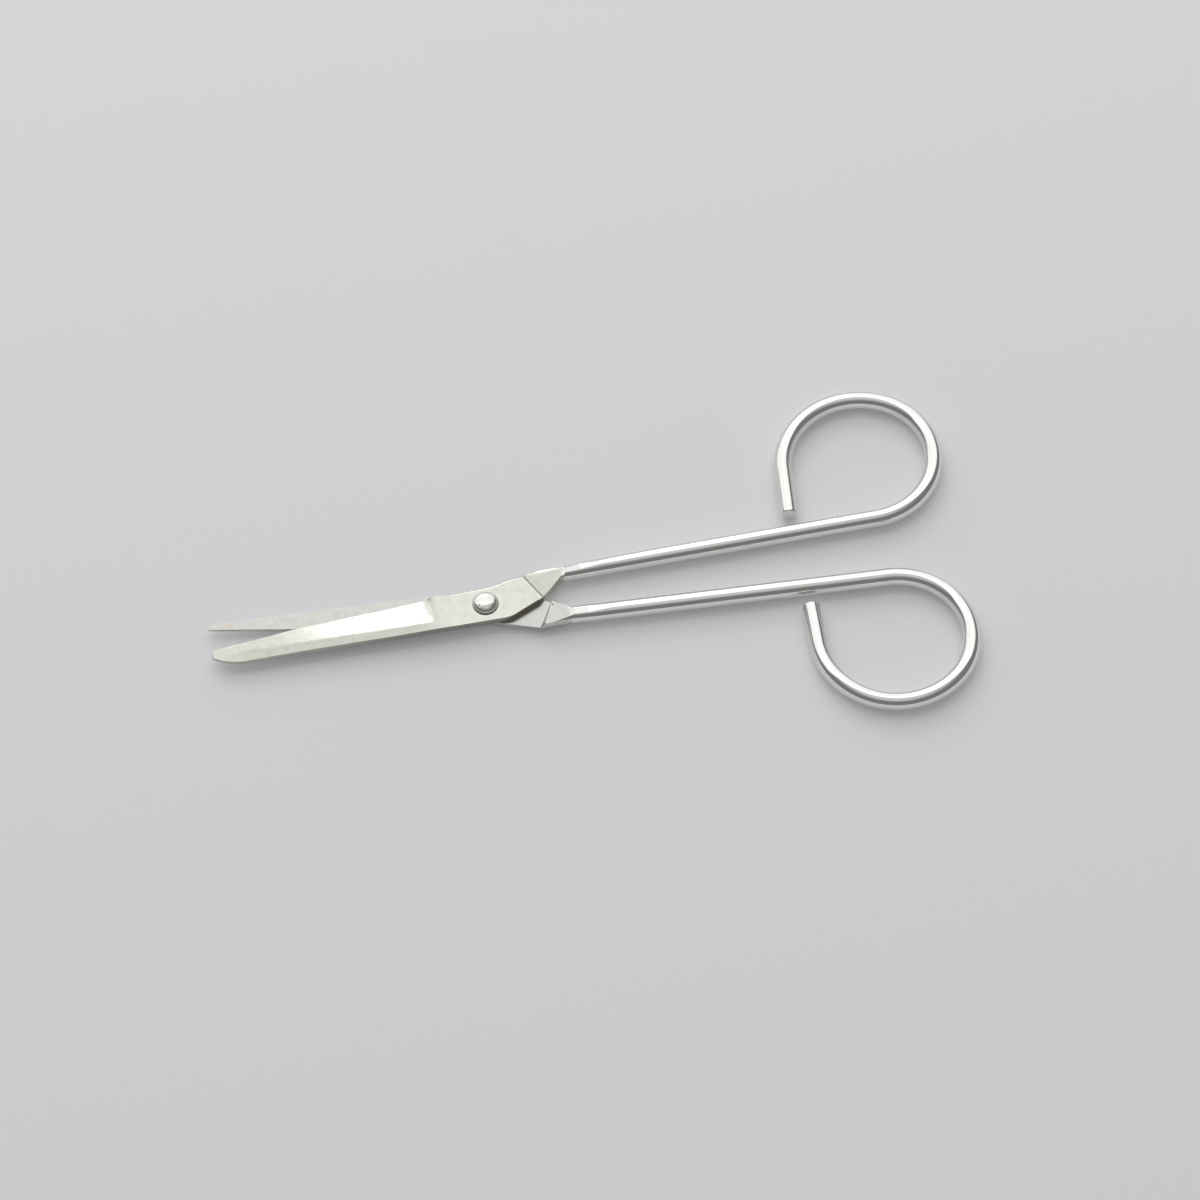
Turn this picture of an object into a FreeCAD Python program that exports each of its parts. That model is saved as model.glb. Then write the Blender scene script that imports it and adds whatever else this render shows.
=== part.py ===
import FreeCAD, Part
import math
import os

import Sketcher
from FreeCAD import Placement, Rotation, Vector

# Nurses scissors with one blunt and one sharp tip, each half made from one length of round steel wire.
# Millimetres. Origin on the pivot axis at the surface that the rivet tail rests on, +Z up, +X towards
# the finger rings along the line midway between the shanks, +Y towards the ring of the blunt half.

SIZES = {
    # stock and pivot, shared by both halves
    "wire_diameter": 2.70,
    "plate_thickness": 1.10,
    "tip_thickness": 0.50,
    "rear_thickness": 1.50,
    "face_gap": 0.03,
    "shank_turn": 1.815,
    # rivet
    "shank_diameter": 2.40,
    "bore_clearance": 0.03,
    "head_diameter": 3.76,
    "head_wall": 0.22,
    "head_height": 0.95,
    "tail_diameter": 3.30,
    "tail_foot_diameter": 2.60,
    "tail_height": 0.45,
    # plan of the pivot plate, measured from the pivot
    "spine_offset": 3.07,
    "knee_distance": 3.30,
    "knee_round": 3.00,
    "notch_distance": 8.17,
    "notch_round": 0.81,
    "crotch_distance": 12.85,
    "hip_round": 2.00,
    "shoulder_distance": 1.42,
    "shoulder_offset": 2.92,
    "shoulder_round": 3.05,
    "heel_distance": 7.92,
    "heel_round": 1.22,
    # offset bend between plate and wire
    "crease_turn": 27.5,
    "outer_crease": 7.51,
    "inner_crease": 8.90,
    "outer_run": 1.10,
    "outer_round": 0.60,
    "inner_run": 0.60,
    "inner_round": 0.30,
    "die_margin": 0.45,
    "run_out": 1.95,
    "run_out_round": 0.80,
    "wire_overlap": 0.40,
    # ground blade
    "strip_heel": 1.44,
    "edge_land": 0.15,
    # blunt half: blade and ring
    "blunt_reach": 41.38,
    "blunt_spine_tip": 2.42,
    "blunt_flank": 38.59,
    "blunt_flank_round": 9.14,
    "blunt_point_rise": 1.52,
    "blunt_point_round": 0.61,
    "blunt_tip_width": 2.80,
    "blunt_tip_round": 0.91,
    "blunt_belly": 28.43,
    "blunt_belly_width": 4.14,
    "blunt_belly_round": 40.62,
    "blunt_heel_offset": 2.88,
    "blunt_waist": 5.08,
    "blunt_waist_offset": 2.59,
    "blunt_waist_round": 5.08,
    "blunt_strip_tip": 1.95,
    "blunt_land_tip": 0.35,
    "blunt_side_round": 0.15,
    "blunt_notch_offset": 0.91,
    "blunt_hip_distance": 8.80,
    "blunt_hip_rise": 0.95,
    "blunt_shank_offset": 3.55,
    "blunt_shank_length": 60.82,
    "blunt_bend_one": 11.35,
    "blunt_angle_one": 63.1,
    "blunt_bend_two": 10.62,
    "blunt_angle_two": 90.1,
    "blunt_bend_three": 12.00,
    "blunt_angle_three": 110.4,
    "blunt_end_length": 7.97,
    # sharp half: blade and ring
    "sharp_reach": 41.38,
    "sharp_spine_tip": 2.73,
    "sharp_flank": 40.57,
    "sharp_flank_round": 1.02,
    "sharp_point_rise": 0.39,
    "sharp_point_round": 0.15,
    "sharp_tip_width": 0.85,
    "sharp_tip_round": 0.20,
    "sharp_heel_offset": 2.49,
    "sharp_waist": 1.22,
    "sharp_waist_offset": 1.98,
    "sharp_waist_round": 1.52,
    "sharp_strip_tip": 0.46,
    "sharp_land_tip": 0.40,
    "sharp_side_round": 0.14,
    "sharp_notch_offset": 0.62,
    "sharp_hip_distance": 8.10,
    "sharp_hip_rise": 1.44,
    "sharp_shank_offset": 3.20,
    "sharp_shank_length": 60.38,
    "sharp_bend_one": 10.66,
    "sharp_angle_one": 141.8,
    "sharp_bend_two": 12.23,
    "sharp_angle_two": 35.1,
    "sharp_bend_three": 11.33,
    "sharp_angle_three": 92.9,
    "sharp_end_length": 7.05,
    # reach of the cutters past the metal, and of the grind past the cutting edge
    "cutter_reach": 60.0,
    "grind_over": 1.0,
    "grind_share": 0.3,
    # sheared wire end
    "end_break": 0.25,
}

doc = FreeCAD.newDocument("NursesScissors")
sheet = doc.addObject("Spreadsheet::Sheet", "Sizes")
for row, (alias, size) in enumerate(SIZES.items(), start=1):
    sheet.set("A%d" % row, alias)
    sheet.set("B%d" % row, str(size))
    sheet.setAlias("B%d" % row, alias)
doc.recompute()


def size(alias):
    """The number held by one named cell."""
    return float(sheet.get(alias))


def named(formula):
    """A formula written in plain size names, as the sheet's cells are addressed in an expression."""
    words = formula.replace("(", "( ").replace(")", " )").split()
    return " ".join("Sizes." + word if word in SIZES else word for word in words)


def origin_plane(body, role):
    """One of the body's own base planes."""
    return next(plane for plane in body.Origin.OriginFeatures if plane.Role == role)


def new_sketch(body, name, role, height=None, turn=None):
    """A sketch on a base plane, lifted along the plane's normal and turned about the plane's second axis."""
    sketch = body.newObject("Sketcher::SketchObject", name)
    sketch.AttachmentSupport = [(origin_plane(body, role), "")]
    sketch.MapMode = "FlatFace"
    if turn:
        sketch.AttachmentOffset = Placement(Vector(0, 0, 0), Rotation(Vector(0, 1, 0), 1))
        sketch.setExpression("AttachmentOffset.Rotation.Angle", named(turn))
    if height:
        sketch.setExpression("AttachmentOffset.Base.z", named(height))
    return sketch


def fix(sketch, rules):
    """Constraints given as (kind, what it holds) or (kind, what it holds, start value, formula)."""
    made = [Sketcher.Constraint(rule[0], *rule[1], *rule[2:3]) for rule in rules]
    numbers = sketch.addConstraint(made)
    for number, rule in zip(numbers, rules):
        if len(rule) == 4:
            sketch.setExpression("Constraints[%d]" % number, named(rule[3]))


def fixed_points(sketch, places):
    """Construction points, each held at two formulas from the sketch's origin."""
    points = [sketch.addGeometry(Part.Point(Vector(1, 1, 0)), True) for _ in places]
    rules = []
    for point, (across, up) in zip(points, places):
        rules.append(("DistanceX", (-1, 1, point, 1), 1.0, across))
        rules.append(("DistanceY", (-1, 1, point, 1), 1.0, up))
    fix(sketch, rules)
    sketch.recompute()
    return points, [Vector(sketch.Geometry[point].X, sketch.Geometry[point].Y, 0) for point in points]


def corner_outline(sketch, corners):
    """Closed outline, anticlockwise, through corners given as (across, up, round or None).

    Straight sides run from corner to corner, and a corner with a round gets a tangent arc of that radius.
    """
    points, places = fixed_points(sketch, [corner[:2] for corner in corners])
    count = len(corners)
    arcs = []
    starts = []
    ends = []
    for number in range(count):
        before = (places[number] - places[number - 1]).normalize()
        after = (places[(number + 1) % count] - places[number]).normalize()
        if corners[number][2] is None:
            arcs.append(None)
            starts.append(places[number])
            ends.append(places[number])
            continue
        radius = size(corners[number][2])
        side = 1 if before.cross(after).z > 0 else -1
        reach = radius * math.tan(before.getAngle(after) / 2)
        starts.append(places[number] - before * reach)
        ends.append(places[number] + after * reach)
        centre = starts[-1] + Vector(-before.y, before.x, 0) * (radius * side)
        first, last = (starts[-1], ends[-1]) if side > 0 else (ends[-1], starts[-1])
        low = math.atan2(first.y - centre.y, first.x - centre.x)
        high = math.atan2(last.y - centre.y, last.x - centre.x)
        if high < low:
            high += 2 * math.pi
        circle = Part.Circle(centre, Vector(0, 0, 1), radius)
        arc = sketch.addGeometry(Part.ArcOfCircle(circle, low, high), False)
        arcs.append((arc, 1 if side > 0 else 2))
    lines = []
    for number in range(count):
        line = Part.LineSegment(ends[number], starts[(number + 1) % count])
        lines.append(sketch.addGeometry(line, False))
    rules = []
    for number in range(count):
        into, away, point = lines[number - 1], lines[number], points[number]
        if arcs[number] is None:
            rules.append(("Coincident", (into, 2, point, 1)))
            rules.append(("Coincident", (away, 1, point, 1)))
            continue
        arc, entry = arcs[number]
        rules.append(("Tangent", (into, 2, arc, entry)))
        rules.append(("Tangent", (away, 1, arc, 3 - entry)))
        rules.append(("PointOnObject", (point, 1, into)))
        rules.append(("PointOnObject", (point, 1, away)))
        rules.append(("Radius", (arc,), size(corners[number][2]), corners[number][2]))
    fix(sketch, rules)


def sketch_circle(sketch, across, up, radius):
    """One circle, its centre and radius held by formulas."""
    circle = sketch.addGeometry(Part.Circle(Vector(1, 1, 0), Vector(0, 0, 1), 1), False)
    fix(sketch, [
        ("DistanceX", (-1, 1, circle, 3), 1.0, across),
        ("DistanceY", (-1, 1, circle, 3), 1.0, up),
        ("Radius", (circle,), 1.0, radius),
    ])


def pocket(body, name, sketch):
    """A cut through the whole body, to both sides of the sketch."""
    cut = body.newObject("PartDesign::Pocket", name)
    cut.Profile = sketch
    cut.Midplane = True
    cut.setExpression("Length", named("cutter_reach * 2"))
    return cut


def ring_path(sketch, half):
    """The wire's line: straight shank, three tangent bends that close the finger ring, straight end."""
    offset, length = half + "_shank_offset", half + "_shank_length"
    start = Vector(size("crotch_distance") - size("wire_overlap"), size(offset), 0)
    place = Vector(size(length), size(offset), 0)
    shank = sketch.addGeometry(Part.LineSegment(start, place), False)
    rules = [
        ("DistanceX", (-1, 1, shank, 1), start.x, "crotch_distance - wire_overlap"),
        ("DistanceY", (-1, 1, shank, 1), start.y, offset),
        ("Horizontal", (shank,)),
        ("DistanceX", (-1, 1, shank, 2), place.x, length),
    ]
    heading = 0.0
    last = shank
    for bend in ("one", "two", "three"):
        bend_name = "%s_bend_%s" % (half, bend)
        angle_name = "%s_angle_%s" % (half, bend)
        radius = size(bend_name)
        sweep = math.radians(size(angle_name))
        centre = place + Vector(-math.sin(heading), math.cos(heading), 0) * radius
        low = heading - math.pi / 2
        arc = Part.ArcOfCircle(Part.Circle(centre, Vector(0, 0, 1), radius), low, low + sweep)
        heading += sweep
        place = centre + Vector(math.sin(heading), -math.cos(heading), 0) * radius
        piece = sketch.addGeometry(arc, False)
        rules.append(("Tangent", (last, 2, piece, 1)))
        rules.append(("Radius", (piece,), radius, bend_name))
        rules.append(("Angle", (piece,), sweep, angle_name + " * 1 deg"))
        last = piece
    end_name = half + "_end_length"
    tip = place + Vector(math.cos(heading), math.sin(heading), 0) * size(end_name)
    piece = sketch.addGeometry(Part.LineSegment(place, tip), False)
    rules.append(("Tangent", (last, 2, piece, 1)))
    rules.append(("Distance", (piece,), size(end_name), end_name))
    fix(sketch, rules)
    return tip


def plan_corners(half):
    """The flat's outline: sharp or blunt blade, pivot plate, and the stretch that runs into the wire."""
    spine = half + "_spine_tip"
    corners = [
        ("0 - %s_flank" % half, "0 - " + spine, half + "_flank_round"),
        ("knee_distance", "0 - spine_offset", "knee_round"),
        ("notch_distance", "0 - %s_notch_offset" % half, "notch_round"),
        ("crotch_distance", half + "_shank_offset - wire_diameter * 0.3", None),
        ("crotch_distance", half + "_shank_offset + wire_diameter * 0.3", None),
        (half + "_hip_distance", "%s_shank_offset + %s_hip_rise" % (half, half), "hip_round"),
        ("shoulder_distance", "shoulder_offset", "shoulder_round"),
        ("0 - %s_waist" % half, half + "_waist_offset", half + "_waist_round"),
        ("0 - heel_distance", half + "_heel_offset", "heel_round"),
        ("0 - %s_reach" % half, "%s_tip_width - %s" % (half, spine), half + "_tip_round"),
        ("0 - %s_reach" % half, "%s_point_rise - %s" % (half, spine), half + "_point_round"),
    ]
    if half == "blunt":
        belly = ("0 - blunt_belly", "blunt_belly_width - " + spine, "blunt_belly_round")
        corners.insert(9, belly)
    return corners


def past_tip(at_heel, at_tip, half):
    """A straight run from the heel to the tip, carried on past the tip."""
    run = "%s_reach - heel_distance" % half
    return "%s + ( %s - ( %s ) ) * grind_over / ( %s )" % (at_tip, at_tip, at_heel, run)


def bevel_section(sketch, edge_line, strip_line, land, thickness):
    """One end of the ground bevel: a slope from the flat strip down to the cutting edge.

    The slope runs on past the edge by a share of its own width, so that the bevel between its two
    ends passes exactly through the edge.
    """
    top = "face_gap / 2 + " + thickness
    past_edge = "%s + grind_share * ( %s - ( %s ) )" % (edge_line, edge_line, strip_line)
    corner_outline(sketch, [
        (strip_line, top, None),
        (past_edge, "face_gap / 2 + %s - grind_share * ( %s - ( %s ) )" % (land, thickness, land), None),
        (past_edge, top + " + grind_over", None),
        (strip_line, top + " + grind_over", None),
    ])


def nearest_edge(shape, spot):
    """The name of the edge that passes closest to a spot."""
    distances = [edge.distToShape(Part.Vertex(spot))[0] for edge in shape.Edges]
    return "Edge%d" % (distances.index(min(distances)) + 1)


def wire_end_edge(shape, tip):
    """The sharp rim left where the wire was sheared off."""
    for number, edge in enumerate(shape.Edges, start=1):
        if edge.isClosed() and edge.CenterOfMass.distanceToPoint(tip) < size("end_break"):
            return "Edge%d" % number
    raise ValueError("no sheared end found")


def wire_half(name, half, placement):
    """One half of the scissors: ring, shank, offset bend, pivot plate and ground blade in one piece.

    Drawn with its shank along +X, its ring on the +Y side, its inner face just above z = 0 and its
    outer face up. Both halves are drawn so, and the lower one is then turned over.
    """
    body = doc.addObject("PartDesign::Body", name)
    body.Label = name

    # The flattened stretch, at first as a block with the outline of the finished flat.
    plan = new_sketch(body, name + "_plan", "XY_Plane", height="0 - rear_thickness / 2")
    corner_outline(plan, plan_corners(half))
    blank = body.newObject("PartDesign::Pad", name + "_blank")
    blank.Profile = plan
    blank.setExpression("Length", named("rear_thickness / 2 + face_gap / 2 + plate_thickness"))
    doc.recompute()

    # Forging leaves the outer face's edges round. The inner face is ground flat and stays crisp.
    spine = Vector(-size("heel_distance"), -size("spine_offset"), size("face_gap") / 2 + size("plate_thickness"))
    rounding = body.newObject("PartDesign::Fillet", name + "_rounding")
    rounding.Base = (blank, [nearest_edge(blank.Shape, spine)])
    rounding.setExpression("Radius", named(half + "_side_round"))
    body.Tip = rounding
    doc.recompute()

    # The offset bend: the outer face drops and, further back, the inner face drops to the wire's level.
    crease = "crease_turn * 1 deg"
    outer = new_sketch(body, name + "_outer_step", "XZ_Plane", turn=crease)
    corner_outline(outer, [
        ("outer_crease - outer_run", "face_gap / 2 + plate_thickness", "outer_round"),
        ("outer_crease", "rear_thickness / 2", "outer_round"),
        ("cutter_reach", "rear_thickness / 2", None),
        ("cutter_reach", "cutter_reach / 2", None),
        ("0 - cutter_reach", "cutter_reach / 2", None),
        ("0 - cutter_reach", "face_gap / 2 + plate_thickness", None),
    ])
    pocket(body, name + "_outer_drop", outer)
    inner = new_sketch(body, name + "_inner_step", "XZ_Plane", turn=crease)
    corner_outline(inner, [
        ("inner_crease + inner_run", "0 - rear_thickness / 2", "inner_round"),
        ("inner_crease", "face_gap / 2", "inner_round"),
        ("0 - cutter_reach", "face_gap / 2", None),
        ("0 - cutter_reach", "0 - cutter_reach / 2", None),
        ("cutter_reach", "0 - cutter_reach / 2", None),
        ("cutter_reach", "0 - rear_thickness / 2", None),
    ])
    pocket(body, name + "_inner_drop", inner)
    doc.recompute()

    # The blade is thinned from its heel to its tip, on the outer face.
    thinning = new_sketch(body, name + "_thinning", "XZ_Plane")
    tip_level = past_tip("plate_thickness", "tip_thickness", half)
    corner_outline(thinning, [
        ("0 - heel_distance", "face_gap / 2 + plate_thickness", None),
        ("0 - %s_reach - grind_over" % half, "face_gap / 2 + " + tip_level, None),
        ("0 - %s_reach - grind_over" % half, "face_gap / 2 + plate_thickness + grind_over", None),
        ("0 - heel_distance", "face_gap / 2 + plate_thickness + grind_over", None),
    ])
    pocket(body, name + "_thinned", thinning)

    # The ground bevel, a slope that leaves a flat strip along the spine and fades towards the tip.
    spine_tip = " - %s_spine_tip" % half
    heel_lines = (half + "_heel_offset", "strip_heel - spine_offset", "edge_land", "plate_thickness")
    tip_lines = (half + "_tip_width" + spine_tip, half + "_strip_tip" + spine_tip, half + "_land_tip", "tip_thickness")
    heel = new_sketch(body, name + "_heel_grind", "YZ_Plane", height="0 - heel_distance")
    bevel_section(heel, *heel_lines)
    point = new_sketch(body, name + "_point_grind", "YZ_Plane", height="0 - %s_reach - grind_over" % half)
    bevel_section(point, *[past_tip(at_heel, at_tip, half) for at_heel, at_tip in zip(heel_lines, tip_lines)])
    bevel = body.newObject("PartDesign::SubtractiveLoft", name + "_bevel")
    bevel.Profile = heel
    bevel.Sections = [point]
    bevel.Ruled = True

    # The pivot hole: the rivet turns in the blunt half and is peened tight in the sharp one.
    bore = new_sketch(body, name + "_bore_plan", "XY_Plane")
    clearance = "bore_clearance" if half == "blunt" else "0"
    sketch_circle(bore, "0", "0", "shank_diameter / 2 + " + clearance)
    pocket(body, name + "_bore", bore)

    # The round wire, swept from inside the flat along the shank and round the finger ring.
    path = new_sketch(body, name + "_path", "XY_Plane")
    tip = ring_path(path, half)
    section = new_sketch(body, name + "_wire_section", "YZ_Plane", height="crotch_distance - wire_overlap")
    sketch_circle(section, half + "_shank_offset", "0", "wire_diameter / 2")
    doc.recompute()
    wire = body.newObject("PartDesign::AdditivePipe", name + "_wire")
    wire.Profile = section
    wire.Spine = (path, ["Edge%d" % number for number in range(1, len(path.Geometry) + 1)])
    doc.recompute()

    # The forging dies end square across the wire, above and below, and its round rises steeply from the flat.
    flat_end = "crotch_distance - die_margin"
    for face, side in (("over", ""), ("under", "0 - ")):
        die = new_sketch(body, "%s_die_%s" % (name, face), "XZ_Plane")
        level = side + "rear_thickness / 2"
        clear = side + "wire_diameter"
        corners = [
            (flat_end + " - run_out", level, None),
            (flat_end, level, "run_out_round"),
            (flat_end + " + run_out", clear, None),
            (flat_end + " - run_out", clear, None),
        ]
        corner_outline(die, corners if side == "" else corners[::-1])
        pocket(body, "%s_run_out_%s" % (name, face), die)
    doc.recompute()

    # The sheared end of the ring, with its burr taken off.
    sheared = body.Tip
    deburr = body.newObject("PartDesign::Chamfer", name + "_end")
    deburr.Base = (sheared, [wire_end_edge(sheared.Shape, tip)])
    deburr.setExpression("Size", named("end_break"))
    body.Tip = deburr
    body.Placement = placement
    doc.recompute()
    return body


def pivot_rivet():
    """Round-headed rivet: domed head over the blunt half, shank, and a tail peened under the sharp half."""
    body = doc.addObject("PartDesign::Body", "pivot_rivet")
    body.Label = "pivot_rivet"
    profile = new_sketch(body, "rivet_profile", "XZ_Plane")
    seat = "tail_height + plate_thickness * 2 + face_gap * 2"
    points, places = fixed_points(profile, [
        ("0", "0"),
        ("tail_foot_diameter / 2", "0"),
        ("tail_diameter / 2", "tail_height"),
        ("shank_diameter / 2", "tail_height"),
        ("shank_diameter / 2", seat),
        ("head_diameter / 2", seat),
        ("head_diameter / 2", seat + " + head_wall"),
        ("0", seat + " + head_height"),
    ])
    rules = []
    runs = [Part.LineSegment(places[number], places[number + 1]) for number in range(6)]
    rise = size("head_height") - size("head_wall")
    radius = (size("head_diameter") ** 2 / 4 + rise ** 2) / (2 * rise)
    centre = Vector(0, places[7].y - radius, 0)
    low = math.atan2(places[6].y - centre.y, places[6].x)
    dome = Part.ArcOfCircle(Part.Circle(centre, Vector(0, 0, 1), radius), low, math.pi / 2)
    axis = Part.LineSegment(places[7], places[0])
    lines = [profile.addGeometry(piece, False) for piece in runs + [dome, axis]]
    for number, piece in enumerate(lines):
        rules.append(("Coincident", (piece, 1, points[number], 1)))
        rules.append(("Coincident", (piece, 2, points[(number + 1) % len(points)], 1)))
    rules.append(("PointOnObject", (lines[6], 3, -2)))
    fix(profile, rules)
    doc.recompute()
    turned = body.newObject("PartDesign::Revolution", "rivet_turned")
    turned.Profile = profile
    turned.ReferenceAxis = (profile, ["V_Axis"])
    turned.Angle = 360
    doc.recompute()
    return body


turn = size("shank_turn")
lift = size("tail_height") + size("plate_thickness") + size("face_gap") / 2
over = Placement(Vector(0, 0, lift), Rotation(Vector(0, 0, 1), turn))
flip = Rotation(Vector(0, 0, 1), -turn).multiply(Rotation(Vector(1, 0, 0), 180))
under = Placement(Vector(0, 0, lift), flip)
pieces = [
    wire_half("blunt_blade_half", "blunt", over),
    wire_half("sharp_blade_half", "sharp", under),
    pivot_rivet(),
]

for made in doc.Objects:
    if "Invalid" in made.State or "Error" in made.State:
        raise RuntimeError("%s failed: %s" % (made.Name, made.State))
os.makedirs("parts", exist_ok=True)
for piece in pieces:
    shape = piece.Shape
    if shape.isNull() or not shape.isValid() or len(shape.Solids) != 1:
        raise RuntimeError("%s is not one sound solid" % piece.Label)
for piece in pieces:
    piece.Shape.exportStep("parts/%s.step" % piece.Label)
    print("%s %.2f mm3" % (piece.Label, piece.Shape.Volume))
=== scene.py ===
import math

import bmesh
import bpy
import numpy as np
from mathutils import Matrix, Vector


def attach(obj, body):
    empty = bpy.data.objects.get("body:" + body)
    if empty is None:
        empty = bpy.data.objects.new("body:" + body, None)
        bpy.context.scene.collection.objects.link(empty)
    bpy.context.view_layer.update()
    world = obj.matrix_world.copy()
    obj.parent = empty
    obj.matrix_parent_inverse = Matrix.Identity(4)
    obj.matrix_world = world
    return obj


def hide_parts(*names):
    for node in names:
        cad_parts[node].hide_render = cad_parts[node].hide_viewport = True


# Nurses scissors lying on a pale table: two forged wire halves and the rivet that joins them.
# Shapes are worked out in millimetres and put into the meshes in metres.
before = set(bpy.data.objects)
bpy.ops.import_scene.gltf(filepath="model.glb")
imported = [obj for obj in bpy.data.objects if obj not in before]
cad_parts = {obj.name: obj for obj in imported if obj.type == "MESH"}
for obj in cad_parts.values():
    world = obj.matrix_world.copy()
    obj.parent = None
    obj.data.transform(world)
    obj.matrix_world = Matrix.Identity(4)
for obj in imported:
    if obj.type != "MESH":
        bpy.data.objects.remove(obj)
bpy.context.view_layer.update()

# Blunt half. One length of 2.7 mm drawn steel wire, cold-forged flat at the front into the pivot plate and
# the blunt-tipped blade, then ground on its inner face and on one long bevel. Its rear end is bent round
# into an open finger ring and sheared off.
WIRE_RADIUS = 1.35
OUTER_FACE = 1.115
INNER_FACE = 0.015
REAR_FLAT = 0.75
MID_HEIGHT = 1.565
CREASE_TURN = math.radians(27.5)
OUTER_CREASE = 7.51
INNER_CREASE = 8.90
BEND_RUN = 1.40
INNER_RUN = 0.55
HEEL = 7.92
TIP_THICKNESS = 0.50
STRIP_HEEL = 1.44
SPINE = 3.07
SHOULDER_START = 12.0
SHOULDER_END = 12.9
FLAT_RUN_OUT = 20.0
FACE_COLUMNS = 37
SIDE_STEPS = (4, 4, 6)


def smooth(value, start, end):
    """0 before start, 1 after end, and 3 t^2 - 2 t^3 in between."""
    t = np.clip((value - start) / (end - start), 0.0, 1.0)
    return t * t * (3.0 - 2.0 * t)


def ripple(along, across, seed, waves=9):
    """Gentle unevenness of about +-1: a sum of sine waves of seeded directions, lengths and phases."""
    draw = np.random.default_rng(seed)
    heading = draw.uniform(0.0, 2.0 * math.pi, waves)
    pace = draw.uniform(0.6, 1.6, waves)
    phase = draw.uniform(0.0, 2.0 * math.pi, waves)
    swing = along[..., None] * (pace * np.cos(heading)) + across[..., None] * (pace * np.sin(heading))
    return np.sin(swing + phase).sum(-1) / math.sqrt(waves / 2.0) / 1.6


def rounded_line(corners):
    """Straight lines from corner to corner, each inner corner replaced by the arc of its own radius that
    touches both lines: centre + radius * (cos a, sin a). Gives the points and the unit normals on the
    right."""
    places = np.array([corner[:2] for corner in corners], float)
    headings = np.arctan2(*np.diff(places, axis=0).T[::-1])
    points, turned = [places[:1]], [headings[:1]]
    for here, come, go, corner in zip(places[1:], headings, headings[1:], corners[1:]):
        turn = (go - come + math.pi) % (2.0 * math.pi) - math.pi
        side = math.copysign(corner[2], turn)
        reach = abs(side * math.tan(turn / 2.0))
        start = here - reach * np.array([math.cos(come), math.sin(come)])
        centre = start + side * np.array([-math.sin(come), math.cos(come)])
        heading = come + np.linspace(0.0, turn, 200)
        points.append(centre + side * np.stack([np.sin(heading), -np.cos(heading)], 1))
        turned.append(heading)
    points.append(places[-1:])
    turned.append(headings[-1:])
    heading = np.concatenate(turned)
    return np.concatenate(points), np.stack([np.sin(heading), -np.cos(heading)], 1)


def cut_by_stations(points, normals, stations, skew):
    """Where each station's line x + skew * y = station first crosses a side of the outline, and the outline's
    normal there."""
    reach = points[None, :, 0] + points[None, :, 1] * skew[:, None] - stations[:, None]
    after = np.clip((reach > 1e-9).argmax(1), 1, len(points) - 1)
    row = np.arange(len(stations))
    low, high = reach[row, after - 1], reach[row, after]
    share = np.clip(-low / np.where(high - low == 0, 1.0, high - low), 0.0, 1.0)[:, None]
    normal = normals[after - 1] * (1 - share) + normals[after] * share
    spot = points[after - 1] * (1 - share) + points[after] * share
    return spot, normal / np.linalg.norm(normal, axis=1)[:, None]


def die_height(x, y, offset, ramp):
    """Half height left between the forging dies: rising evenly by the ramp's slope, a little less on the
    crotch side, then a short shoulder where the die ends, and a faint flat that runs out on the round wire."""
    rise = ramp * np.clip(x - 9.6, 0.0, 3.1) * (0.7 + 0.3 * smooth(y, offset - 1.5, offset - 0.2))
    shoulder = 0.47 * smooth(x, SHOULDER_START, SHOULDER_END)
    return REAR_FLAT + np.maximum(rise, shoulder) + 0.14 * smooth(x, SHOULDER_END, FLAT_RUN_OUT)


def outer_step(u, level, die):
    """Height of the outer face over the diagonal coordinate u: level, then dropping ever steeper into a sharp
    valley at the crease, then at the dies' height, with a fine groove left by the die along the valley."""
    t = np.clip((u - OUTER_CREASE + BEND_RUN) / BEND_RUN, 0.0, 1.0)
    groove = 0.05 * np.exp(-((u - OUTER_CREASE) / 0.10) ** 2)
    return np.where(u < OUTER_CREASE, level - (OUTER_FACE - REAR_FLAT) * t ** 1.9, die) - groove


def inner_step(u, y, die):
    """Height of the inner face over u: level, then a steep slope down to the lower die's height, which grows
    longer towards the hip."""
    run = 0.26 + (INNER_RUN - 0.26) * smooth(y, 0.5, 4.5)
    return INNER_FACE - (die + INNER_FACE) * np.clip((u - INNER_CREASE) / run, 0.0, 1.0)


def ring_line(half, spacing):
    """The wire's middle line from the end of the straight shank: three tangent arcs, then a straight end.
    Gives centres and left normals, at even spacing along the line."""
    place, heading = np.array([half["shank_length"], half["shank_offset"]]), 0.0
    centres, lefts, paces = [], [], []
    for radius, angle in half["bends"]:
        sweep = math.radians(angle)
        steps = max(2, round(radius * sweep / spacing))
        a = heading + np.linspace(0.0, sweep, steps + 1)[1:]
        middle = place + radius * np.array([-math.sin(heading), math.cos(heading)])
        centres.append(middle + radius * np.stack([np.sin(a), -np.cos(a)], 1))
        lefts.append(np.stack([-np.sin(a), np.cos(a)], 1))
        paces.append(np.full(steps, radius * sweep / steps))
        place, heading = centres[-1][-1], heading + sweep
    steps = round(half["end_length"] / spacing)
    run = np.linspace(0.0, half["end_length"] - 0.25, steps + 1)[1:]
    centres.append(place + run[:, None] * np.array([math.cos(heading), math.sin(heading)]))
    lefts.append(np.repeat([[-math.sin(heading), math.cos(heading)]], steps, 0))
    paces.append(np.full(steps, run[0]))
    return np.concatenate(centres), np.concatenate(lefts), np.cumsum(np.concatenate(paces))


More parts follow.
